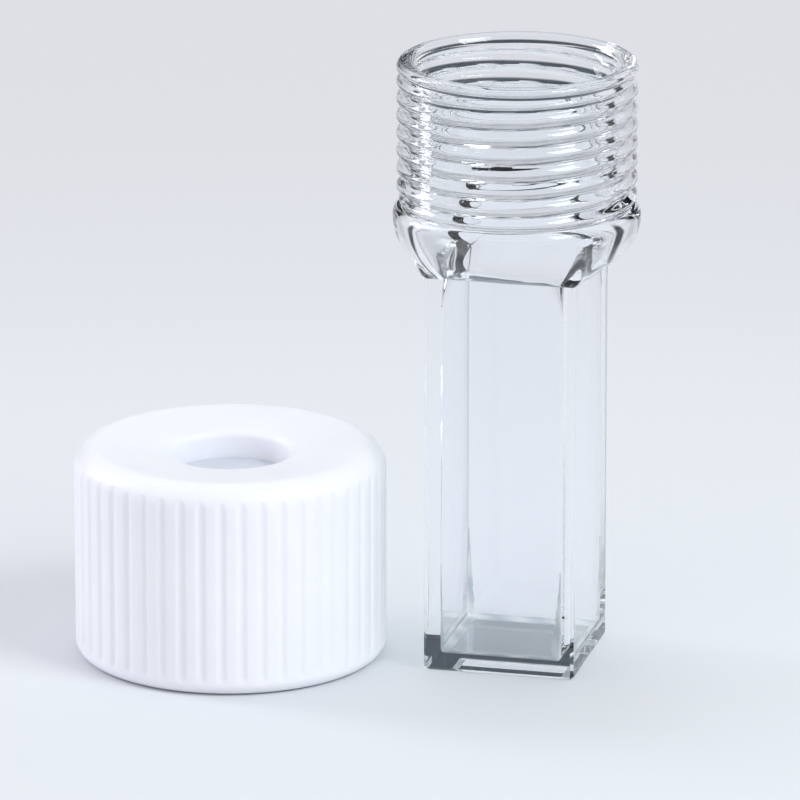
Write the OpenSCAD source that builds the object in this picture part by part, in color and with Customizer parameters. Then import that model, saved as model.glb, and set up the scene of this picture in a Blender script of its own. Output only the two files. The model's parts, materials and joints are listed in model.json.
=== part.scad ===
// Screw-neck quartz cell with its open-top screw cap and septum.
// Millimetres, +Z up, origin at the centre of the cell's base.
// The cap has been taken off and stands beside the cell, open side down.

/* [Cell] */
// Outer width of the square body
cell_w = 12.5; // [11:0.25:14]
// Thickness of the four windows
window_t = 1.25; // [0.9:0.05:1.75]
// Thickness of the base plate
base_t = 1.25; // [0.8:0.05:3]
// Height of the straight square body
body_h = 33.2; // [20:0.2:60]
// Width of the ground bevels on the outer edges
bevel = 0.25; // [0.15:0.05:0.5]

/* [Shoulder and neck] */
// Height of the shoulder, from the square body to the bead
shoulder_h = 4.2; // [3.5:0.1:8]
// How far the bead stands out past the thread
bead_lip = 0.3; // [0.1:0.05:0.6]
// Height of the half-round above the bead's widest line
bead_r = 0.9; // [0.6:0.1:1.5]
// Radius of the inside corners where the body meets the shoulder
corner_r = 1.4; // [0.6:0.1:2]
// Height over which the inside corners fill in to that radius
corner_run = 3.6; // [1:0.2:8]
// Outer diameter of the thread
thread_d = 19.5; // [19:0.1:22]
// Rise of the thread in one turn
thread_pitch = 1.45; // [1:0.05:2]
// Depth of the thread
thread_depth = 0.42; // [0.3:0.02:0.6]
// Turns of thread on the neck
thread_turns = 7.5; // [4:0.25:10]
// Diameter of the bore through the neck
neck_bore_d = 16.6; // [16:0.1:17.2]
// Height of the rounded rim above the thread
rim_h = 1; // [0.8:0.1:2]

/* [Septum] */
// Thickness of the septum
septum_t = 3.2; // [1.5:0.1:4]
// Gap all round between the septum and its seat in the cap
septum_gap = 0.15; // [0.05:0.05:0.3]

/* [Screw cap] */
// Thickness of the skirt outside the thread
skirt_t = 2.8; // [2:0.1:4]
// Thickness of the top plate at the shoulder
top_t = 2.8; // [2:0.1:4]
// How far the top sinks from the shoulder to the hole
top_dish = 0.5; // [0:0.05:0.8]
// Diameter of the hole in the top plate
hole_d = 10; // [5:0.5:13]
// Radius of the edge round the hole
hole_edge_r = 0.6; // [0.3:0.1:1]
// Radius of the rounded top shoulder
cap_shoulder_r = 1.8; // [1:0.1:2.8]
// Radius of the bottom edge
cap_foot_r = 1.1; // [0.3:0.1:1.6]
// Number of grip ribs
rib_count = 48; // [24:4:72]
// Depth of the grooves between the ribs
rib_depth = 0.15; // [0.1:0.01:0.4]
// Height of the plain band below the ribs
band_h = 1; // [0.8:0.1:3]
// Play between the two threads, all round
thread_play = 0.2; // [0.1:0.05:0.35]
// Gap left between the closed cap and the bead
closing_gap = 0.3; // [0.2:0.1:1.5]

/* [Place of the cap] */
// Distance of the cap's axis to the left of the cell's axis
cap_left = 22.9; // [22:0.1:60]
// Distance of the cap's axis in front of the cell's axis
cap_front = 4.5; // [-10:0.1:20]

/* [Hidden] */
$fn = 96;
eps = 0.02;
side_points = 12;              // points along each side of the square, and on each quarter of a circle
thread_steps = 7;              // levels in one turn of the neck's thread
cap_side_points = 9;           // the same two for the cap's own thread
cap_thread_steps = 6;

cavity_w = cell_w - 2 * window_t;
bore_r = neck_bore_d / 2;
crest_r = thread_d / 2;
root_r = crest_r - thread_depth;
bead_z = body_h + shoulder_h;
thread_z0 = bead_z + bead_r;
thread_z1 = thread_z0 + thread_turns * thread_pitch;
cell_h = thread_z1 + rim_h;
rim_wall = crest_r - bore_r;
rim_r = min(rim_h, rim_wall) / 2;          // radius of both rounded edges of the rim
corner_z = body_h - corner_run;            // the cavity's corners are sharp up to here
funnel_z0 = body_h;
funnel_z1 = bead_z;

cap_root_r = crest_r + thread_play;        // the cap's thread is cut from this radius inwards
cap_r = cap_root_r + skirt_t;
seat_depth = cell_h - thread_z0 - closing_gap;
seat_z = seat_depth;                       // underside of the septum, where the rim closes on it
plate_z = seat_z + septum_t;
cap_h = plate_z + top_t;
hole_z = cap_h - top_dish;                 // the top is this high round the hole
rib_top_share = 0.54;                      // flat top of a rib, as a share of the rib spacing
groove_share = 0.18;                       // flat bottom of a groove, likewise
septum_d = 2 * (cap_root_r - septum_gap);

// ---- outlines and the skin through them ----

function mix(a, b, t) = a + (b - a) * t;
function turn(p, a) = [p.x * cos(a) - p.y * sin(a), p.x * sin(a) + p.y * cos(a)];

// A square with cut corners, as four sides of m points, counter-clockwise from the +X side
function square_ring(half, cut, m) =
    [for (k = [0:3], i = [0:m - 1]) turn([half, mix(cut - half, half - cut, i / (m - 1))], 90 * k)];

// A square with round corners of radius r, in the same order
function rounded_ring(half, r, m) =
    [for (k = [0:3], i = [0:m - 1])
        let (y = mix(-half, half, (i + 0.5) / m),
             past = max(0, abs(y) - half + r),
             a = 45 * past / r)
            turn([half - r * (1 - cos(a)), sign(y) * (past > 0 ? half - r * (1 - sin(a)) : abs(y))], 90 * k)];

// The angle of point i on side k of a ring of 4 m points
function ring_angle(k, i, m) = 90 * k - 45 + 90 * (i + 0.5) / m;

function circle_ring(r, m) =
    [for (k = [0:3], i = [0:m - 1]) let (a = ring_angle(k, i, m)) r * [cos(a), sin(a)]];

function blend_ring(a, b, t) = [for (i = [0:len(a) - 1]) mix(a[i], b[i], t)];
function at_height(ring, z) = [for (p = ring) [p.x, p.y, z]];

// How far a shoulder has opened from square to round at a share t of its height:
// it leaves the body at once, fills out, and turns upright at the bead
function opening(t) = pow(1 - pow(1 - t, 2.3), 0.75);

// A closed solid through rings of equal length, listed from the bottom up. Each end is
// closed by a fan round its middle, because a square ring has many points in one line
module skin(rings) {
    n = len(rings[0]);
    levels = len(rings);
    last = n * (levels - 1);
    low = n * levels;
    high = low + 1;
    sides = [
        for (j = [0:levels - 2], i = [0:n - 1])
            let (a = j * n + i, b = j * n + (i + 1) % n)
                each [[a, a + n, b + n], [a, b + n, b]]
    ];
    ends = [
        for (i = [0:n - 1])
            let (next = (i + 1) % n)
                each [[low, i, next], [high, last + next, last + i]]
    ];
    middles = [[0, 0, rings[0][0].z], [0, 0, rings[levels - 1][0].z]];
    polyhedron(concat([for (ring = rings) each ring], middles), concat(sides, ends));
}

// ---- the thread ----

// Height of the thread's profile, 0 at the root and 1 at the crest, over one pitch:
// a round crest with a narrower root, as a thread formed in soft glass has
function profile(turns) = pow(0.5 - 0.5 * cos(360 * turns), 0.55);

// Share of the thread's depth at z: it swells and dies away over half a turn at each end
function swell(z, z0, z1, pitch) = sin(90 * max(0, min(1, 2 * min(z - z0, z1 - z) / pitch)));

// One ring of a right-hand thread at height z
function thread_ring(z, z0, z1, r, depth, pitch, m) =
    [for (k = [0:3], i = [0:m - 1])
        let (a = ring_angle(k, i, m),
             height = profile((z - z0) / pitch - a / 360) * swell(z, z0, z1, pitch),
             rr = r + depth * height)
            [rr * cos(a), rr * sin(a), z]];

function thread_rings(z0, z1, r, depth, pitch, m, steps) =
    let (levels = ceil((z1 - z0) / pitch * steps))
        [for (j = [0:levels]) thread_ring(mix(z0, z1, j / levels), z0, z1, r, depth, pitch, m)];

// ---- the cell ----

module cell_body() {
    h = cell_w / 2;
    difference() {
        linear_extrude(body_h)
            polygon([for (k = [0:3], s = [-1, 1]) turn([h, s * (h - bevel)], 90 * k)]);
        for (k = [0:3])
            rotate(90 * k)
                translate([h, 0, 0])
                    rotate([0, 45, 0])
                        cube([bevel * sqrt(2), 2 * cell_w, bevel * sqrt(2)], center = true);
    }
}

// Outside of the shoulder, bead, thread and rim, as one skin
module shoulder_and_neck() {
    m = side_points;
    square = square_ring(cell_w / 2, bevel, m);
    bead = circle_ring(crest_r + bead_lip, m);
    shoulder_steps = 8;
    shoulder = [
        for (j = [0:shoulder_steps])
            let (t = j / shoulder_steps)
                at_height(blend_ring(square, bead, opening(t)), mix(body_h, bead_z, t))
    ];
    over_bead = [
        for (a = [30, 60])
            at_height(circle_ring(mix(root_r, crest_r + bead_lip, cos(a)), m), bead_z + bead_r * sin(a))
    ];
    thread = thread_rings(thread_z0, thread_z1, root_r, thread_depth, thread_pitch, m, thread_steps);
    rim_z = cell_h - rim_r;
    rim = concat(
        [at_height(circle_ring(crest_r, m), mix(thread_z1, rim_z, 0.6))],
        [for (a = [0, 30, 60, 90])
            at_height(circle_ring(crest_r - rim_r * (1 - cos(a)), m), rim_z + rim_r * sin(a))]
    );
    skin(concat(shoulder, over_bead, thread, rim));
}

// Square cavity, funnel and round bore
module cell_inside() {
    m = side_points;
    half = cavity_w / 2;
    filled = rounded_ring(half, corner_r, m);
    mouth = circle_ring(bore_r - 2 * eps, m);
    corner_steps = 3;
    corners = [
        for (j = [0:corner_steps - 1])
            let (t = j / corner_steps)
                at_height(rounded_ring(half, max(eps, corner_r * t * t), m), mix(corner_z, body_h, t))
    ];
    funnel_steps = 6;
    funnel = [
        for (j = [0:funnel_steps])
            let (t = j / funnel_steps)
                at_height(blend_ring(filled, mouth, opening(t)), mix(funnel_z0, funnel_z1, t))
    ];
    translate([-half, -half, base_t])
        cube([cavity_w, cavity_w, corner_z - base_t + eps]);
    skin(concat(corners, funnel));
    translate([0, 0, funnel_z1 - eps])
        cylinder(r = bore_r, h = cell_h - funnel_z1 + 1);
    rotate_extrude()
        difference() {
            translate([0, cell_h - rim_r])
                square([bore_r + rim_r, rim_r + 1]);
            translate([bore_r + rim_r, cell_h - rim_r])
                circle(rim_r);
        }
}

module cell() {
    color([0.80, 0.90, 0.95, 0.45])
        difference() {
            union() {
                cell_body();
                shoulder_and_neck();
            }
            cell_inside();
        }
}

// ---- the cap and its septum ----

module at_cap() {
    translate([-cap_left, -cap_front, 0])
        children();
}

// Half section of the cap's outside, rounded at the top shoulder and the foot, with the dished top
module cap_section() {
    hole_lip_r = hole_d / 2 + hole_edge_r;
    difference() {
        square([cap_r, cap_h]);
        polygon([[-1, hole_z], [hole_lip_r, hole_z], [cap_r - cap_shoulder_r, cap_h],
            [cap_r - cap_shoulder_r, cap_h + 1], [-1, cap_h + 1]]);
        translate([cap_r - cap_shoulder_r, cap_h - cap_shoulder_r])
            difference() {
                square(cap_shoulder_r + 1);
                circle(cap_shoulder_r);
            }
        translate([cap_r - cap_foot_r, cap_foot_r])
            mirror([0, 1])
                difference() {
                    square(cap_foot_r + 1);
                    circle(cap_foot_r);
                }
    }
}

// What the mould leaves between the ribs: shallow grooves with sloping sides
module rib_grooves() {
    step = 360 / rib_count;
    top = rib_top_share / 2;
    bottom = groove_share / 2;
    ribs = [
        for (i = [0:rib_count - 1],
             c = [[-top, cap_r + eps], [top, cap_r + eps],
                  [0.5 - bottom, cap_r - rib_depth], [0.5 + bottom, cap_r - rib_depth]])
            let (a = step * (i + c[0]))
                c[1] * [cos(a), sin(a)]
    ];
    translate([0, 0, band_h])
        linear_extrude(cap_h)
            difference() {
                circle(cap_r + 1);
                polygon(ribs);
            }
}

module cap_inside() {
    m = cap_side_points;
    minor_r = cap_root_r - thread_depth;
    thread_end = seat_z - eps;
    lead_in = 0.8;
    translate([0, 0, -eps])
        cylinder(r1 = cap_root_r + eps, r2 = minor_r - eps, h = lead_in);
    skin(concat(
        [at_height(circle_ring(minor_r, m), -1)],
        thread_rings(lead_in / 2, thread_end, minor_r, thread_depth, thread_pitch, m, cap_thread_steps),
        [at_height(circle_ring(minor_r, m), seat_z + eps)]
    ));
    translate([0, 0, seat_z])
        cylinder(r = cap_root_r, h = septum_t);
    cylinder(d = hole_d, h = cap_h + 1);
    translate([0, 0, hole_z - hole_edge_r])
        rotate_extrude()
            difference() {
                square([hole_d / 2 + hole_edge_r, hole_edge_r + 1]);
                translate([hole_d / 2 + hole_edge_r, 0])
                    circle(hole_edge_r);
            }
}

module screw_cap() {
    color([0.96, 0.97, 0.99])
        at_cap()
            difference() {
                rotate_extrude()
                    cap_section();
                rib_grooves();
                cap_inside();
            }
}

module septum() {
    color([0.90, 0.88, 0.84])
        at_cap()
            translate([0, 0, seat_z])
                cylinder(d = septum_d, h = septum_t);
}

cell();
septum();
screw_cap();
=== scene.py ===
import json
import math

import bmesh
import bpy
import numpy as np
from mathutils import Matrix, Vector


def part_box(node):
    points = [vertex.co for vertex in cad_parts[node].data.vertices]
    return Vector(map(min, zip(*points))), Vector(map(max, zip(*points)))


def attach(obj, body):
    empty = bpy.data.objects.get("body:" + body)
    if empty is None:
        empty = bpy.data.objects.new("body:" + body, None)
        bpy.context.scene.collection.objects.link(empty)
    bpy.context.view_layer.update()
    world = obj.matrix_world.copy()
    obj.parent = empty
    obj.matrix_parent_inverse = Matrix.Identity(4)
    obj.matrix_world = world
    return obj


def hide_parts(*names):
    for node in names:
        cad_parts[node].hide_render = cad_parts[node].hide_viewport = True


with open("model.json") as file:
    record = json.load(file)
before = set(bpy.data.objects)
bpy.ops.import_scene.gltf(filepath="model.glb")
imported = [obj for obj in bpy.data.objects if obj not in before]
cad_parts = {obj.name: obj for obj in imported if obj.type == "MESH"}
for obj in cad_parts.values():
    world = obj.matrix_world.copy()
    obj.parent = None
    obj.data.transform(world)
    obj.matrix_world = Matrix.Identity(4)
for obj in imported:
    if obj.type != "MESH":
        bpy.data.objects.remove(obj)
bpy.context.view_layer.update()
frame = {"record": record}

MM = 0.001  # sizes are in millimetres where they don't say metres, and the scene is in metres

# ---------------------------------------------------------------------------------------------
# Camera: a long lens on a tripod, a little above the neck of the cell and turned slightly to its
# right-hand side, so that one window faces the lens and the next is seen nearly edge-on.
CAMERA_AZIMUTH = 13.6
CAMERA_ELEVATION = 16.8
CAMERA_DISTANCE = 0.70  # metres
CAMERA_LENS = 387
AIM = Vector((-9.18, -2.22, 21.57)) * MM


def look_back(azimuth, elevation):
    """Unit vector from the object towards a viewer at these angles."""
    a, e = math.radians(azimuth), math.radians(elevation)
    return Vector((math.sin(a) * math.cos(e), -math.cos(a) * math.cos(e), math.sin(e)))


back = look_back(CAMERA_AZIMUTH, CAMERA_ELEVATION)
camera = bpy.data.objects.new("camera", bpy.data.cameras.new("camera"))
bpy.context.scene.collection.objects.link(camera)
camera.data.lens = CAMERA_LENS
camera.data.clip_start = 0.01
camera.data.clip_end = 200
camera.location = AIM + back * CAMERA_DISTANCE
camera.rotation_mode = "QUATERNION"
camera.rotation_quaternion = (-back).to_track_quat("-Z", "Y")
bpy.context.scene.camera = camera

# ---------------------------------------------------------------------------------------------
# Cell: fused quartz, one clear piece. Four polished windows are fused to each other and to a base
# plate, and a blown shoulder with a threaded, fire-polished neck is fused on top of them.
CELL_W = 12.5
WINDOW_T = 1.25
BASE_T = 1.25
BEVEL = 0.25
BODY_H = 33.2
SHOULDER_H = 4.2
SHOULDER_SPRING = 0.75
SHOULDER_LEVELLING = 2.3
BEAD_LIP = 0.3
BEAD_R = 0.9
CORNER_R = 1.4
CORNER_RUN = 3.6
CORNER_MIN_R = 0.06
SHOULDER_STEPS = 32
BORE_STEPS = 24
NECK_LEVELS_PER_TURN = 16
THREAD_D = 19.5
THREAD_PITCH = 1.45
THREAD_DEPTH = 0.42
THREAD_TURNS = 7.5
THREAD_FULLNESS = 0.55
FOOT_FILLET = 0.3
FOOT_RINGS = (0.7, 1.1)
FOOT_RING_R = 0.2
RIPPLE_SIZE = 3.5
RIPPLE_DEPTH = 0.05
JOINT_W = 0.8
JOINT_MIN_W = 0.08
JOINT_COLUMNS = 4
JOINT_LEVELS = 40
JOINT_FOOT = 0.6
JOINT_RUN = 7.0
FOOT_LINE_W = 0.75
QUARTZ_IOR = 1.458
SIDE_POINTS = 48
NEAR = 0.01  # how far from a surface a point may lie and still count as on it
BORE_R = next(m for m in frame["record"]["mounts"] if m["name"] == "neck_bore")["dims"]["r_mm"]
CELL_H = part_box("cell")[1].z / MM
CAVITY = CELL_W / 2 - WINDOW_T
JOINT_TOP = BASE_T + JOINT_FOOT + JOINT_RUN
CREST_R = THREAD_D / 2
ROOT_R = CREST_R - THREAD_DEPTH
BEAD_Z = BODY_H + SHOULDER_H
THREAD_Z0 = BEAD_Z + BEAD_R
THREAD_Z1 = THREAD_Z0 + THREAD_TURNS * THREAD_PITCH
RIM_R = min(CELL_H - THREAD_Z1, CREST_R - BORE_R) / 2


def four_sides(one_side):
    """Turns one side's points, in the +X side's place, round the axis to make a closed ring."""
    ring = []
    for k in range(4):
        c, s = round(math.cos(k * math.pi / 2)), round(math.sin(k * math.pi / 2))
        ring += [(c * x - s * y, s * x + c * y) for x, y in one_side]
    return np.array(ring)


def cut_ring(half, cut):
    """A square with its corners cut off."""
    return four_sides([(half, y) for y in np.linspace(cut - half, half - cut, SIDE_POINTS)])


def rounded_ring(half, r):
    """A square with round corners."""
    side = []
    for i in range(SIDE_POINTS):
        y = half * (2 * (i + 0.5) / SIDE_POINTS - 1)
        a = math.radians(45 * max(0.0, abs(y) - half + r) / r)
        along = half - r * (1 - math.sin(a)) if a > 0 else abs(y)
        side.append((half - r * (1 - math.cos(a)), math.copysign(along, y)))
    return four_sides(side)


def circle_ring(r):
    """A circle, with its points where those of the squares are."""
    angles = [math.radians(90 * (i + 0.5) / SIDE_POINTS - 45) for i in range(SIDE_POINTS)]
    return four_sides([(r * math.cos(a), r * math.sin(a)) for a in angles])


def opening(t):
    """How far the shoulder has opened from square to round at a share t of its height: fast where
    it springs from the body, and hardly any more as it levels out under the bead."""
    return (1 - (1 - t) ** SHOULDER_LEVELLING) ** SHOULDER_SPRING


def at_height(ring, z):
    """The ring's points in space, level at this height."""
    return np.column_stack([ring, np.full(len(ring), z)])


def mesh_piece(name, points, faces):
    """A new object with this mesh, its points in metres."""
    mesh = bpy.data.meshes.new(name)
    mesh.from_pydata(points, [], faces)
    piece = bpy.data.objects.new(name, mesh)
    bpy.context.scene.collection.objects.link(piece)
    return piece


def skin(name, rings, closed_loop=False):
    """A closed mesh in metres through rings of equal length: its last ring joins the first, or a
    fan round a middle point closes each end."""
    n = len(rings[0])
    spans = len(rings) if closed_loop else len(rings) - 1
    faces = []
    for j in range(spans):
        up = (j + 1) % len(rings)
        for i in range(n):
            k = (i + 1) % n
            faces.append((j * n + i, j * n + k, up * n + k, up * n + i))
    points = [tuple(p) for ring in rings for p in ring * MM]
    if not closed_loop:
        first, last, end = len(points), len(points) + 1, (len(rings) - 1) * n
        points += [tuple(rings[0].mean(0) * MM), tuple(rings[-1].mean(0) * MM)]
        for i in range(n):
            k = (i + 1) % n
            faces += [(first, k, i), (last, end + i, end + k)]
    return mesh_piece(name, points, faces)


def crease(piece, degrees):
    """Smooth shading, with the edges sharper than this angle kept crisp."""
    bm = bmesh.new()
    bm.from_mesh(piece.data)
    for face in bm.faces:
        face.smooth = True
    for edge in bm.edges:
        edge.smooth = edge.is_manifold and edge.calc_face_angle(0) < math.radians(degrees)
    bm.to_mesh(piece.data)
    bm.free()


def mark(piece, name, amount):
    """Gives each point a number: amount(x, y, z), with the place in millimetres."""
    numbers = piece.data.attributes.new(name, "FLOAT", "POINT")
    numbers.data.foreach_set("value", [amount(*(v.co / MM)) for v in piece.data.vertices])


def ramp(value, low, high):
    """0 below low, 1 above high, and a straight rise between them."""
    return max(0.0, min(1.0, (value - low) / (high - low)))


def add(tree, kind, inputs=None, **settings):
    """Adds a node: settings are its properties, and inputs maps a socket to a value or a link."""
    made = tree.nodes.new(kind)
    for name, value in settings.items():
        setattr(made, name, value)
    for key, value in (inputs or {}).items():
        if isinstance(value, bpy.types.NodeSocket):
            tree.links.new(value, made.inputs[key])
        else:
            made.inputs[key].default_value = value
    return made


def maths(tree, operation, *values):
    """One Math node, as its result socket."""
    return add(tree, "ShaderNodeMath", dict(enumerate(values)), operation=operation).outputs[0]


def object_place(tree):
    """Where a point lies in its object's own space, in metres."""
    return add(tree, "ShaderNodeTexCoord").outputs["Object"]


def noise(tree, place, size, detail):
    """Cloudy noise from 0 to 1, with spots of this size in millimetres."""
    return add(tree, "ShaderNodeTexNoise", {"Vector": place, "Scale": 1 / (size * MM),
                                            "Detail": detail}).outputs[0]


def blend(tree, share, low, high):
    """A colour between two others, each an RGBA value or a link."""
    return add(tree, "ShaderNodeMix", {"Factor": share, 6: low, 7: high}, data_type="RGBA").outputs[2]


def bump(tree, surface, height, strength, depth):
    """Roughens a surface by a height from 0 to 1, which stands for this depth in millimetres."""
    made = add(tree, "ShaderNodeBump", {"Height": height, "Strength": strength, "Distance": depth * MM})
    tree.links.new(made.outputs[0], surface["Normal"])


def zone(tree, name):
    """The number that each point of the piece holds under this name."""
    return add(tree, "GeometryNodeInputNamedAttribute", {"Name": name}, data_type="FLOAT").outputs[0]


def geometry_tree(name, **inputs):
    """A Geometry Nodes tree with a Geometry input and output and these named number inputs, and
    with the material to set at its end."""
    tree = bpy.data.node_groups.new(name, "GeometryNodeTree")
    tree.interface.new_socket("Geometry", in_out="INPUT", socket_type="NodeSocketGeometry")
    for label in inputs:
        tree.interface.new_socket(label, in_out="INPUT", socket_type=inputs[label])
    tree.interface.new_socket("Finish", in_out="INPUT", socket_type="NodeSocketMaterial")
    tree.interface.new_socket("Geometry", in_out="OUTPUT", socket_type="NodeSocketGeometry")
    return tree, add(tree, "NodeGroupInput").outputs


def move_points(tree, given, offset):
    """Ends a tree: moves the points by this offset, makes the result real and sets its finish."""
    moved = add(tree, "GeometryNodeSetPosition", {"Geometry": given["Geometry"], "Offset": offset})
    real = add(tree, "GeometryNodeRealizeInstances", {0: moved.outputs[0]})
    done = add(tree, "GeometryNodeSetMaterial", {"Geometry": real.outputs[0], "Material": given["Finish"]})
    add(tree, "NodeGroupOutput", {0: done.outputs[0]})
    return tree


def run_tree(piece, tree, **values):
    """Runs a tree on a piece with these inputs, and keeps the result as a plain mesh."""
    modifier = piece.modifiers.new(tree.name, "NODES")
    modifier.node_group = tree
    for item in tree.interface.items_tree:
        if item.in_out == "INPUT" and item.name in values:
            modifier[item.identifier] = values[item.name]
    graph = bpy.context.evaluated_depsgraph_get()
    mesh = bpy.data.meshes.new_from_object(piece.evaluated_get(graph))
    piece.modifiers.remove(modifier)
    piece.data = mesh


def outward(tree):
    """The place of a point as x, y, z, and the unit vector from the Z axis to it."""
    point = add(tree, "GeometryNodeInputPosition").outputs[0]
    place = add(tree, "ShaderNodeSeparateXYZ", {0: point}).outputs
    flat = add(tree, "ShaderNodeCombineXYZ", {0: place[0], 1: place[1]}).outputs[0]
    away = add(tree, "ShaderNodeVectorMath", {0: flat}, operation="NORMALIZE").outputs[0]
    return place, away


def thread_tree():
    """Pushes a wall out into a right-hand thread: broad round crests with narrow roots between
    them, which swell and die away over half a turn at each end."""
    tree, given = geometry_tree("thread", Pitch="NodeSocketFloat", Depth="NodeSocketFloat",
                                Start="NodeSocketFloat", End="NodeSocketFloat")
    (x, y, z), away = outward(tree)
    turn = maths(tree, "DIVIDE", maths(tree, "ARCTAN2", y, x), 2 * math.pi)
    climbed = maths(tree, "DIVIDE", maths(tree, "SUBTRACT", z, given["Start"]), given["Pitch"])
    phase = maths(tree, "MULTIPLY", maths(tree, "SUBTRACT", climbed, turn), 2 * math.pi)
    wave = maths(tree, "MULTIPLY_ADD", maths(tree, "COSINE", phase), -0.5, 0.5)
    profile = maths(tree, "POWER", maths(tree, "MAXIMUM", wave, 0.0), THREAD_FULLNESS)
    left = maths(tree, "DIVIDE", maths(tree, "SUBTRACT", given["End"], z), given["Pitch"])
    to_end = maths(tree, "MULTIPLY", maths(tree, "MINIMUM", climbed, left), 2.0)
    inside = maths(tree, "MINIMUM", maths(tree, "MAXIMUM", to_end, 0.0), 1.0)
    swell = maths(tree, "SINE", maths(tree, "MULTIPLY", inside, math.pi / 2))
    height = maths(tree, "MULTIPLY", maths(tree, "MULTIPLY", profile, swell), given["Depth"])
    kept = maths(tree, "MULTIPLY", height, zone(tree, "thread_zone"))
    offset = add(tree, "ShaderNodeVectorMath", {0: away, "Scale": kept}, operation="SCALE").outputs[0]
    return move_points(tree, given, offset)


def ripple_tree():
    """The slow unevenness that a flame leaves in drawn and blown glass, along the surface normal."""
    tree, given = geometry_tree("flame ripple", Size="NodeSocketFloat", Depth="NodeSocketFloat")
    slow = add(tree, "ShaderNodeTexNoise", {"Scale": maths(tree, "DIVIDE", 1.0, given["Size"]),
                                            "Detail": 1.0, "Roughness": 0.4}).outputs[0]
    uneven = maths(tree, "MULTIPLY_ADD", slow, 2.0, -1.0)
    depth = maths(tree, "MULTIPLY", uneven, given["Depth"])
    height = maths(tree, "MULTIPLY", depth, zone(tree, "ripple_zone"))
    normal = add(tree, "GeometryNodeInputNormal").outputs[0]
    offset = add(tree, "ShaderNodeVectorMath", {0: normal, "Scale": height}, operation="SCALE").outputs[0]
    return move_points(tree, given, offset)


def linear(hex_colour, alpha=1.0):
    """An sRGB hex colour as linear RGBA."""
    out = []
    for i in (0, 2, 4):
        c = int(hex_colour[i:i + 2], 16) / 255
        out.append(c / 12.92 if c <= 0.04045 else ((c + 0.055) / 1.055) ** 2.4)
    return (*out, alpha)


def material(name):
    """A new material, with its nodes and the inputs of its Principled shader."""
    made = bpy.data.materials.new(name)
    made.use_nodes = True
    return made, made.node_tree, made.node_tree.nodes["Principled BSDF"].inputs


def quartz():
    """Fused quartz, polished: water-clear, with sharp reflections."""
    made, tree, surface = material("fused quartz, polished")
    surface["Base Color"].default_value = linear("FCFDFF")
    surface["Transmission Weight"].default_value = 1.0
    surface["IOR"].default_value = QUARTZ_IOR
    place = object_place(tree)
    haze = noise(tree, place, 4, 2.0)
    tree.links.new(maths(tree, "MULTIPLY", maths(tree, "POWER", haze, 3.0), 0.04), surface["Roughness"])
    return made


def fused_joint():
    """The same quartz where the windows are fused to each other and to the base plate: a milky,
    grainy line that scatters the light."""
    made, tree, surface = material("fused quartz, milky joint")
    place = object_place(tree)
    grain = noise(tree, place, 0.35, 3.0)
    strokes = add(tree, "ShaderNodeTexWave", {"Vector": place, "Scale": 1 / (6 * MM), "Distortion": 1.5},
                  bands_direction="DIAGONAL").outputs[1]
    cloud = maths(tree, "MULTIPLY_ADD", strokes, 0.6, maths(tree, "MULTIPLY", grain, 0.4))
    tree.links.new(blend(tree, cloud, linear("BCC6D2"), linear("FFFFFF")), surface["Base Color"])
    tree.links.new(maths(tree, "MULTIPLY_ADD", grain, 0.6, 0.2), surface["Roughness"])
    bump(tree, surface, grain, strength=0.6, depth=0.06)
    surface["Transmission Weight"].default_value = 0.35
    surface["IOR"].default_value = QUARTZ_IOR
    return made


def joint_width(x, y, z):
    """Width of the milky strip up a corner of the cavity: it thins out and wavers. The corners at
    the back left and the front right have the widest strips."""
    left = 1 - ramp(z, BASE_T, JOINT_TOP)
    waver = 1 + 0.1 * math.sin(4.3 * z + x) + 0.08 * math.sin(9.7 * z - y)
    share = 0.4 if x * y > 0 else 1.0 if x > 0 else 0.7
    return max(JOINT_MIN_W, JOINT_W * share * left * waver)


def joint_ring(z):
    """The cavity's square at this height, with points drawn in to the edges of the milky strips."""
    ring = []
    for x, y in rounded_ring(CAVITY, CORNER_MIN_R):
        across, along = max(abs(x), abs(y)), min(abs(x), abs(y))
        step = 2 * CAVITY / SIDE_POINTS
        rank = (CAVITY - along) / step - 0.5
        if rank < JOINT_COLUMNS - 0.5:
            along = CAVITY - joint_width(x, y, z) * (rank + 0.5) / (JOINT_COLUMNS - 0.5)
        pair = (across, along) if abs(x) > abs(y) else (along, across)
        ring.append([math.copysign(size, sign) for size, sign in zip(pair, (x, y))])
    return at_height(np.array(ring), z)


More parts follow.
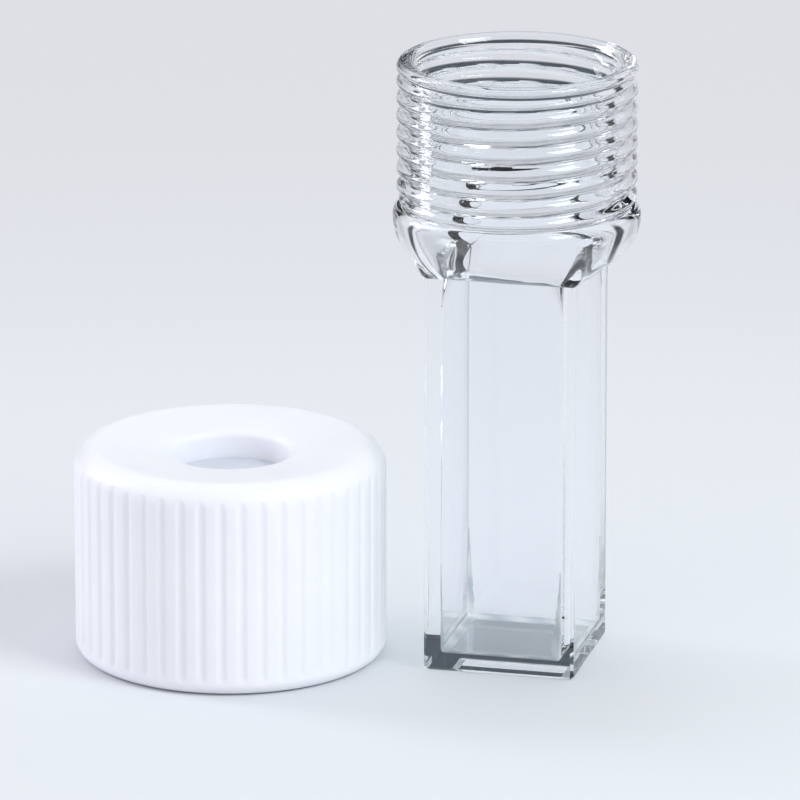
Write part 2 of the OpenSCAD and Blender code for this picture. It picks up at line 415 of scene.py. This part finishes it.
def cell_rings():
    """Rings from the middle of the base, up the outside, over the rim and down the inside."""
    square = cut_ring(CELL_W / 2, BEVEL)
    bead = circle_ring(CREST_R + BEAD_LIP)
    rings = [at_height(cut_ring(CELL_W / 2 - BEVEL, BEVEL / 2), 0)]
    rings += [at_height(square, z) for z in (BEVEL, BODY_H * 0.5)]
    for j in range(SHOULDER_STEPS + 1):
        t = j / SHOULDER_STEPS
        b = opening(t)
        rings.append(at_height(square * (1 - b) + bead * b, BODY_H + SHOULDER_H * t))
    for a in range(10, 90, 10):
        r = ROOT_R + (CREST_R + BEAD_LIP - ROOT_R) * math.cos(math.radians(a))
        rings.append(at_height(circle_ring(r), BEAD_Z + BEAD_R * math.sin(math.radians(a))))
    levels = round(THREAD_TURNS * NECK_LEVELS_PER_TURN)
    for j in range(levels + 1):
        rings.append(at_height(circle_ring(ROOT_R), THREAD_Z0 + (THREAD_Z1 - THREAD_Z0) * j / levels))
    rim_z = CELL_H - RIM_R
    for t in (0.25, 0.5, 0.75):
        r = ROOT_R + THREAD_DEPTH * math.sin(math.pi / 2 * t)
        rings.append(at_height(circle_ring(r), THREAD_Z1 + (rim_z - THREAD_Z1) * t))
    for a in range(0, 91, 15):
        r = CREST_R - RIM_R * (1 - math.cos(math.radians(a)))
        rings.append(at_height(circle_ring(r), rim_z + RIM_R * math.sin(math.radians(a))))
    for a in range(90, -1, -15):
        r = BORE_R + RIM_R * (1 - math.cos(math.radians(a)))
        rings.append(at_height(circle_ring(r), rim_z + RIM_R * math.sin(math.radians(a))))
    for j in range(1, BORE_STEPS + 1):
        rings.append(at_height(circle_ring(BORE_R), rim_z + (BEAD_Z - rim_z) * j / BORE_STEPS))
    inner_square = rounded_ring(CAVITY, CORNER_R)
    mouth = circle_ring(BORE_R)
    for j in range(SHOULDER_STEPS - 1, -1, -1):
        t = j / SHOULDER_STEPS
        b = opening(t)
        rings.append(at_height(inner_square * (1 - b) + mouth * b, BODY_H + SHOULDER_H * t))
    for t in (0.85, 0.7, 0.55, 0.4, 0.25, 0.1, 0.0):
        r = max(CORNER_MIN_R, CORNER_R * t * t)
        rings.append(at_height(rounded_ring(CAVITY, r), BODY_H - CORNER_RUN * (1 - t)))
    rings.append(at_height(rounded_ring(CAVITY, CORNER_MIN_R), BODY_H * 0.5))
    rings += [joint_ring(BASE_T + JOINT_FOOT + JOINT_RUN * t) for t in np.linspace(1, 0, JOINT_LEVELS)]
    for a in (0, 22.5, 45, 67.5, 90):
        inset = FOOT_FILLET * (1 - math.cos(math.radians(a)))
        z = BASE_T + FOOT_FILLET * (1 - math.sin(math.radians(a)))
        rings.append(at_height(rounded_ring(CAVITY - inset, CORNER_MIN_R + inset / 2), z))
    rings += [at_height(rounded_ring(CAVITY - inset, FOOT_RING_R), BASE_T) for inset in FOOT_RINGS]
    return rings


def in_shoulder(x, y, z):
    """Where the glass was blown and drawn: all of the shoulder, and a little of the neck."""
    blown = ramp(z, BODY_H - CORNER_RUN, BODY_H + 1)
    left_in_neck = 1 - 0.75 * ramp(z, BEAD_Z, THREAD_Z0)
    below_rim = 1 - ramp(z, THREAD_Z1 - 1, CELL_H)
    return blown * left_in_neck * below_rim


def on_joint(x, y, z):
    """On the milky line round the foot of the cavity, or on the strips up its corners."""
    across, along = max(abs(x), abs(y)), min(abs(x), abs(y))
    if across > CAVITY + NEAR or z < BASE_T - NEAR or z > JOINT_TOP:
        return False
    if z < BASE_T + FOOT_FILLET + 0.1:
        return across > CAVITY - FOOT_LINE_W
    return along > CAVITY - joint_width(x, y, z)


cell_glass, milky = quartz(), fused_joint()
cell = skin("quartz_cell", cell_rings())
mark(cell, "thread_zone",
     lambda x, y, z: float(math.hypot(x, y) > ROOT_R - NEAR and THREAD_Z0 <= z <= THREAD_Z1 + NEAR))
mark(cell, "ripple_zone", in_shoulder)
run_tree(cell, thread_tree(), Pitch=THREAD_PITCH * MM, Depth=THREAD_DEPTH * MM,
         Start=THREAD_Z0 * MM, End=THREAD_Z1 * MM, Finish=cell_glass)
run_tree(cell, ripple_tree(), Size=RIPPLE_SIZE * MM, Depth=RIPPLE_DEPTH * MM, Finish=cell_glass)
crease(cell, degrees=35)
cell.data.materials.append(milky)
for face in cell.data.polygons:
    face.material_index = int(on_joint(*(face.center / MM)))
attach(cell, "root")
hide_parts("cell")
cell.visible_shadow = False  # clear glass would shade like a solid, so shadow_film stands in for it

# ---------------------------------------------------------------------------------------------
# Screw cap: white polypropylene, moulded in one piece. A skirt with fine grip ribs and an inside
# thread, a rounded top shoulder, and a plain round hole through the top plate.
HOLE_R = 5.0
HOLE_EDGE_R = 0.6
TOP_DISH = 0.5
CAP_SHOULDER_R = 1.8
CAP_FOOT_R = 1.1
RIB_COUNT = 48
RIB_DEPTH = 0.15
RIB_TOP_SHARE = 0.54
GROOVE_SHARE = 0.18
RIB_RUN_OUT = 0.6
BAND_H = 1.0
THREAD_PLAY = 0.2
LEAD_IN = 0.8
COLUMNS_PER_RIB = 12
CAP_COLUMNS = RIB_COUNT * COLUMNS_PER_RIB
CAP_LEVELS_PER_TURN = 9
cap_low, cap_high = (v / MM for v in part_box("screw_cap"))
seat_low, seat_high = (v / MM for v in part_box("septum"))
CAP_H = cap_high.z
CAP_R = (cap_high.x - cap_low.x) / 2
CAP_PLACE = Matrix.Translation(Vector((cap_low.x + CAP_R, (cap_low.y + cap_high.y) / 2, 0)) * MM)
CAP_ROOT_R = CREST_R + THREAD_PLAY
CAP_MINOR_R = CAP_ROOT_R - THREAD_DEPTH


def arc(r, z, radius, start, stop, steps):
    """Points (radius, height) on an arc round (r, z), from one angle to another."""
    angles = [math.radians(start + (stop - start) * i / steps) for i in range(steps + 1)]
    return [(r + radius * math.cos(a), z + radius * math.sin(a)) for a in angles]


def line(start, stop, steps):
    """Points on a straight line, without its last one."""
    return [tuple(start[k] + (stop[k] - start[k]) * i / steps for k in (0, 1)) for i in range(steps)]


def revolve(name, outline, columns, closed_loop=True):
    """An outline of (radius, height) turned round the Z axis. One that isn't a closed loop starts
    and ends near the axis, and a fan closes each end."""
    angles = np.linspace(0, 2 * math.pi, columns, endpoint=False)
    round_once = np.column_stack([np.cos(angles), np.sin(angles)])
    return skin(name, [at_height(round_once * r, z) for r, z in outline], closed_loop)


def cap_outline():
    """Half section of the cap, from the inside of its foot up the outside and back down."""
    wall_top, top_in = CAP_H - CAP_SHOULDER_R, CAP_R - CAP_SHOULDER_R
    hole_z, lip_r = CAP_H - TOP_DISH, HOLE_R + HOLE_EDGE_R
    tilt = math.degrees(math.atan2(TOP_DISH, top_in - lip_r))
    points = line((CAP_ROOT_R, 0), (CAP_R - CAP_FOOT_R, 0), 4)
    points += arc(CAP_R - CAP_FOOT_R, CAP_FOOT_R, CAP_FOOT_R, -90, 0, 8)
    points += [(CAP_R, CAP_FOOT_R + t) for t in (0.1, 0.2, 0.3, 0.45, 0.7)]
    points += line((CAP_R, CAP_FOOT_R + 1), (CAP_R, wall_top), 8)
    points += arc(top_in, wall_top, CAP_SHOULDER_R, 0, 90 + tilt, 18)
    edge = arc(lip_r, hole_z - HOLE_EDGE_R, HOLE_EDGE_R, 90 + tilt, 180, 8)
    points += line(points[-1], edge[0], 8)[1:] + edge
    points += line((HOLE_R, hole_z - HOLE_EDGE_R), (HOLE_R, seat_high.z), 4)[1:]
    points += line((HOLE_R, seat_high.z), (CAP_ROOT_R, seat_high.z), 4)
    points += line((CAP_ROOT_R, seat_high.z), (CAP_ROOT_R, seat_low.z), 3)
    points += line((CAP_ROOT_R, seat_low.z), (CAP_MINOR_R, seat_low.z), 2)
    levels = round((seat_low.z - LEAD_IN) / THREAD_PITCH * CAP_LEVELS_PER_TURN)
    points += line((CAP_MINOR_R, seat_low.z), (CAP_MINOR_R, LEAD_IN), levels)
    points += line((CAP_MINOR_R, LEAD_IN), (CAP_ROOT_R, 0), 3)
    return points


def rib_tree():
    """Presses shallow grooves into an upright wall and leaves rounded ribs between them. The
    grooves start above a plain band, and run out where the wall curves in at the top."""
    tree, given = geometry_tree("grip ribs", Count="NodeSocketFloat", Depth="NodeSocketFloat",
                                Radius="NodeSocketFloat", Band="NodeSocketFloat",
                                Groove="NodeSocketFloat", Top="NodeSocketFloat")
    (x, y, z), away = outward(tree)
    squares = maths(tree, "ADD", maths(tree, "MULTIPLY", x, x), maths(tree, "MULTIPLY", y, y))
    radius = maths(tree, "SQRT", squares)
    wave = maths(tree, "COSINE", maths(tree, "MULTIPLY", maths(tree, "ARCTAN2", y, x), given["Count"]))
    steep = add(tree, "ShaderNodeMapRange",
                {"Value": wave, "From Min": given["Groove"], "From Max": given["Top"],
                 "To Min": 1.0, "To Max": 0.0}, interpolation_type="SMOOTHSTEP")
    above = maths(tree, "DIVIDE", maths(tree, "SUBTRACT", z, given["Band"]), RIB_RUN_OUT * MM)
    started = maths(tree, "MINIMUM", maths(tree, "MAXIMUM", above, 0.0), 1.0)
    groove = maths(tree, "MULTIPLY", maths(tree, "MULTIPLY", steep.outputs[0], given["Depth"]), started)
    wall = maths(tree, "SUBTRACT", given["Radius"], groove)
    inwards = maths(tree, "MINIMUM", maths(tree, "SUBTRACT", wall, radius), 0.0)
    offset = add(tree, "ShaderNodeVectorMath", {0: away, "Scale": inwards}, operation="SCALE").outputs[0]
    return move_points(tree, given, offset)


def polypropylene():
    """Polypropylene, injection moulded: a cool white that lets a little light in under its skin,
    with the satin grain of the mould and faint flow marks."""
    made, tree, surface = material("polypropylene, moulded, white")
    place = object_place(tree)
    flow = noise(tree, place, 6, 3.0)
    tree.links.new(blend(tree, flow, linear("F0F0F9"), linear("F7F7FD")), surface["Base Color"])
    grain = noise(tree, place, 0.25, 2.0)
    tree.links.new(maths(tree, "MULTIPLY_ADD", grain, 0.16, 0.3), surface["Roughness"])
    bump(tree, surface, grain, strength=0.25, depth=0.02)
    surface["IOR"].default_value = 1.49
    surface["Subsurface Weight"].default_value = 0.25
    surface["Subsurface Radius"].default_value = (1.0, 0.95, 0.9)
    surface["Subsurface Scale"].default_value = 1.2 * MM
    return made


cap_plastic = polypropylene()
cap = revolve("ribbed_screw_cap", cap_outline(), CAP_COLUMNS)
mark(cap, "thread_zone",
     lambda x, y, z: float(abs(math.hypot(x, y) - CAP_MINOR_R) < NEAR
                           and LEAD_IN - NEAR < z < seat_low.z + NEAR))
run_tree(cap, thread_tree(), Pitch=THREAD_PITCH * MM, Depth=THREAD_DEPTH * MM,
         Start=LEAD_IN / 2 * MM, End=seat_low.z * MM, Finish=cap_plastic)
run_tree(cap, rib_tree(), Count=float(RIB_COUNT), Depth=RIB_DEPTH * MM, Radius=CAP_R * MM,
         Band=BAND_H * MM, Groove=-math.cos(math.pi * GROOVE_SHARE), Top=math.cos(math.pi * RIB_TOP_SHARE),
         Finish=cap_plastic)
cap.data.transform(CAP_PLACE)
crease(cap, degrees=40)
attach(cap, "root")
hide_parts("screw_cap")

# ---------------------------------------------------------------------------------------------
# Septum: a disc of silicone sheet under the cap's top plate. It is punched from the sheet, and the
# cap presses it onto the rim of the neck.
SEPTUM_EDGE_R = 0.25
SEPTUM_EYE_R = 0.8
SEPTUM_COLUMNS = 160
SEPTUM_R = (seat_high.x - seat_low.x) / 2


def septum_outline():
    """Half section of the disc, from near its axis out along its lower face and back."""
    low, high, r, edge, eye = seat_low.z, seat_high.z, SEPTUM_R, SEPTUM_EDGE_R, SEPTUM_EYE_R
    points = line((eye, low), (r - edge, low), 12)
    points += arc(r - edge, low + edge, edge, -90, 0, 4)
    points += arc(r - edge, high - edge, edge, 0, 90, 4)
    points += line((r - edge, high), (eye, high), 12)[1:] + [(eye, high)]
    return points


def silicone():
    """Silicone rubber sheet: off-white, soft and dull, with a fine even grain."""
    made, tree, surface = material("silicone rubber, sheet")
    place = object_place(tree)
    grain = noise(tree, place, 0.3, 3.0)
    tree.links.new(blend(tree, grain, linear("D0D2DC"), linear("DADCE5")), surface["Base Color"])
    tree.links.new(maths(tree, "MULTIPLY_ADD", grain, 0.15, 0.5), surface["Roughness"])
    bump(tree, surface, grain, strength=0.3, depth=0.03)
    surface["IOR"].default_value = 1.41
    surface["Subsurface Weight"].default_value = 0.3
    surface["Subsurface Scale"].default_value = 1.5 * MM
    return made


septum = revolve("silicone_septum", septum_outline(), SEPTUM_COLUMNS, closed_loop=False)
septum.data.materials.append(silicone())
septum.data.transform(CAP_PLACE)
crease(septum, degrees=40)
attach(septum, "root")
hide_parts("septum")

# ---------------------------------------------------------------------------------------------
# Stage: a wide sheet of pale paper under soft boxes. Clear glass only shows by what it bends into
# view, so two screens of dark gauze stand near it, which the camera doesn't see, and above its
# horizon the room is dimmer than the paper, apart from one white band.
PALE = "DEE0E5"
DIM = "4A525B"
FLOOR_DROP = 0.03
FLOOR_SIDES = 64
FLOOR_RADII = (0.03, 0.1, 0.4, 2, 10, 60)  # metres
FLOOR_EVEN_FROM, FLOOR_EVEN_BY = 0.04, 0.2  # metres
GAUZE_STEPS = 12
GAUZE_DENSITY = 1.6
FILM_INSET = 0.05
FILM_SHARE = 0.72


def seen_directly(tree):
    """1 for rays from the camera, off gloss or through glass, and 0 for soft light and shadows."""
    path = add(tree, "ShaderNodeLightPath").outputs
    rays = maths(tree, "MAXIMUM", path["Is Camera Ray"], path["Is Glossy Ray"])
    return maths(tree, "MAXIMUM", rays, path["Is Transmission Ray"])


def paper():
    """Matt paper. It takes the shadows near the object, and away from it keeps one even tone."""
    made, tree, surface = material("pale matt paper")
    surface["Base Color"].default_value = linear(PALE)
    surface["Roughness"].default_value = 0.9
    surface["Specular IOR Level"].default_value = 0.2
    place = object_place(tree)
    far = add(tree, "ShaderNodeVectorMath", {0: place}, operation="LENGTH").outputs["Value"]
    even = add(tree, "ShaderNodeMapRange",
               {"Value": far, "From Min": FLOOR_EVEN_FROM, "From Max": FLOOR_EVEN_BY},
               interpolation_type="SMOOTHSTEP").outputs[0]
    tone = add(tree, "ShaderNodeEmission", {"Color": linear(PALE)}).outputs[0]
    share = maths(tree, "MULTIPLY", even, seen_directly(tree))
    lit = tree.nodes["Principled BSDF"].outputs[0]
    mixed = add(tree, "ShaderNodeMixShader", {0: share, 1: lit, 2: tone})
    tree.links.new(mixed.outputs[0], tree.nodes["Material Output"].inputs["Surface"])
    return made


def flat_disc(name, radii):
    """A level disc made of rings round the cell, so that its faces are small near it. The radii are
    in metres."""
    points, faces = [(0, 0, -FLOOR_DROP * MM)], []
    for r in radii:
        angles = [2 * math.pi * i / FLOOR_SIDES for i in range(FLOOR_SIDES)]
        points += [(r * math.cos(a), r * math.sin(a), -FLOOR_DROP * MM) for a in angles]
    for i in range(FLOOR_SIDES):
        k = (i + 1) % FLOOR_SIDES
        faces.append((0, 1 + i, 1 + k))
        for j in range(len(radii) - 1):
            inner, outer = 1 + j * FLOOR_SIDES, 1 + (j + 1) * FLOOR_SIDES
            faces.append((inner + i, outer + i, outer + k, inner + k))
    return mesh_piece(name, points, faces)


floor = flat_disc("floor", FLOOR_RADII)
floor.data.materials.append(paper())


def dark_gauze():
    """Dark cloth that thins out towards its edges, by the number that each of its points holds."""
    made, tree, surface = material("dark gauze")
    surface["Base Color"].default_value = linear("1E2228")
    surface["Roughness"].default_value = 0.9
    dense = add(tree, "ShaderNodeAttribute", attribute_name="dense").outputs["Fac"]
    clear = add(tree, "ShaderNodeBsdfTransparent").outputs[0]
    cloth = tree.nodes["Principled BSDF"].outputs[0]
    mixed = add(tree, "ShaderNodeMixShader", {0: dense, 1: clear, 2: cloth})
    tree.links.new(mixed.outputs[0], tree.nodes["Material Output"].inputs["Surface"])
    return made


def flag(name, azimuth, distance, width, height):
    """An upright screen of gauze that faces the cell. Only gloss and glass see it."""
    steps = GAUZE_STEPS
    towards = look_back(azimuth, 0)
    side = towards.cross(Vector((0, 0, 1)))
    points, dense, faces = [], [], []
    for j in range(steps + 1):
        for i in range(steps + 1):
            across, up = i / steps, j / steps
            place = towards * distance + side * (across - 0.5) * width + Vector((0, 0, up * height))
            points.append(place * MM)
            dense.append(min(1.0, GAUZE_DENSITY * math.sin(math.pi * across) * math.sin(math.pi * up)))
    for j in range(steps):
        for i in range(steps):
            low, high = j * (steps + 1) + i, (j + 1) * (steps + 1) + i
            faces.append((low, low + 1, high + 1, high))
    made = mesh_piece(name, points, faces)
    made.data.attributes.new("dense", "FLOAT", "POINT").data.foreach_set("value", dense)
    made.data.materials.append(gauze)
    made.visible_camera = made.visible_diffuse = made.visible_shadow = False


gauze = dark_gauze()
flag("flag_right", azimuth=138, distance=62, width=17, height=52)
flag("flag_left", azimuth=243, distance=72, width=18, height=52)


def shadow_film(share):
    """A film inside the cell's outer skin that only shadows see. It lets this share of the light
    through at each pass, because the clear glass itself casts no shadow."""
    rings = [at_height(cut_ring(CELL_W / 2 - FILM_INSET, BEVEL), z) for z in (FILM_INSET, BODY_H)]
    rings += [at_height(circle_ring(CREST_R - FILM_INSET), z) for z in (BEAD_Z, CELL_H - FILM_INSET)]
    film = skin("shadow_film", rings)
    film.visible_camera = film.visible_diffuse = film.visible_glossy = film.visible_transmission = False
    made, tree, _ = material("grey film")
    clear = add(tree, "ShaderNodeBsdfTransparent", {"Color": (share, share, share, 1)})
    tree.links.new(clear.outputs[0], tree.nodes["Material Output"].inputs["Surface"])
    film.data.materials.append(made)


shadow_film(FILM_SHARE)

world = bpy.data.worlds.new("studio")
bpy.context.scene.world = world
world.use_nodes = True
sky = world.node_tree
facing = add(sky, "ShaderNodeTexCoord").outputs["Generated"]
up = add(sky, "ShaderNodeSeparateXYZ", {0: facing}).outputs[2]
room = add(sky, "ShaderNodeValToRGB", {0: up})
# Tones by height, where 0 is level and 1 is straight up.
stops = [(0.02, PALE), (0.1, DIM), (0.35, DIM), (0.38, "FFFFFF"), (0.5, "FFFFFF"), (0.55, DIM)]
while len(room.color_ramp.elements) < len(stops):
    room.color_ramp.elements.new(1.0)
for stop, (height, tone) in zip(room.color_ramp.elements, stops):
    stop.position, stop.color = height, linear(tone)
seen = blend(sky, seen_directly(sky), linear("E3E3E5"), room.outputs[0])
sky.links.new(seen, sky.nodes["Background"].inputs["Color"])
sky.nodes["Background"].inputs["Strength"].default_value = 1.0


def softbox(name, azimuth, elevation, distance, width, height, watts, colour):
    """A rectangular lamp that points where the camera does, with its sizes in metres."""
    lamp = bpy.data.objects.new(name, bpy.data.lights.new(name, "AREA"))
    bpy.context.scene.collection.objects.link(lamp)
    lamp.data.shape = "RECTANGLE"
    lamp.data.size, lamp.data.size_y = width, height
    lamp.data.energy = watts
    lamp.data.color = linear(colour)[:3]
    away = look_back(azimuth, elevation)
    lamp.location = AIM + away * distance
    lamp.rotation_mode = "QUATERNION"
    lamp.rotation_quaternion = away.to_track_quat("Z", "Y")


softbox("key", azimuth=66, elevation=42, distance=0.5, width=0.2, height=0.2,
        watts=1.12, colour="F4FFFF")
softbox("rim", azimuth=-98, elevation=22, distance=0.5, width=0.15, height=0.25,
        watts=0.85, colour="F6F9FF")

bpy.context.scene.view_settings.view_transform = "Standard"

# Light that is trapped in the walls of the cell is turned back many times before it gets out, and
# each turn counts as gloss. So gloss may go on for as long as a whole path does.
cycles = bpy.context.scene.cycles
cycles.glossy_bounces = cycles.max_bounces
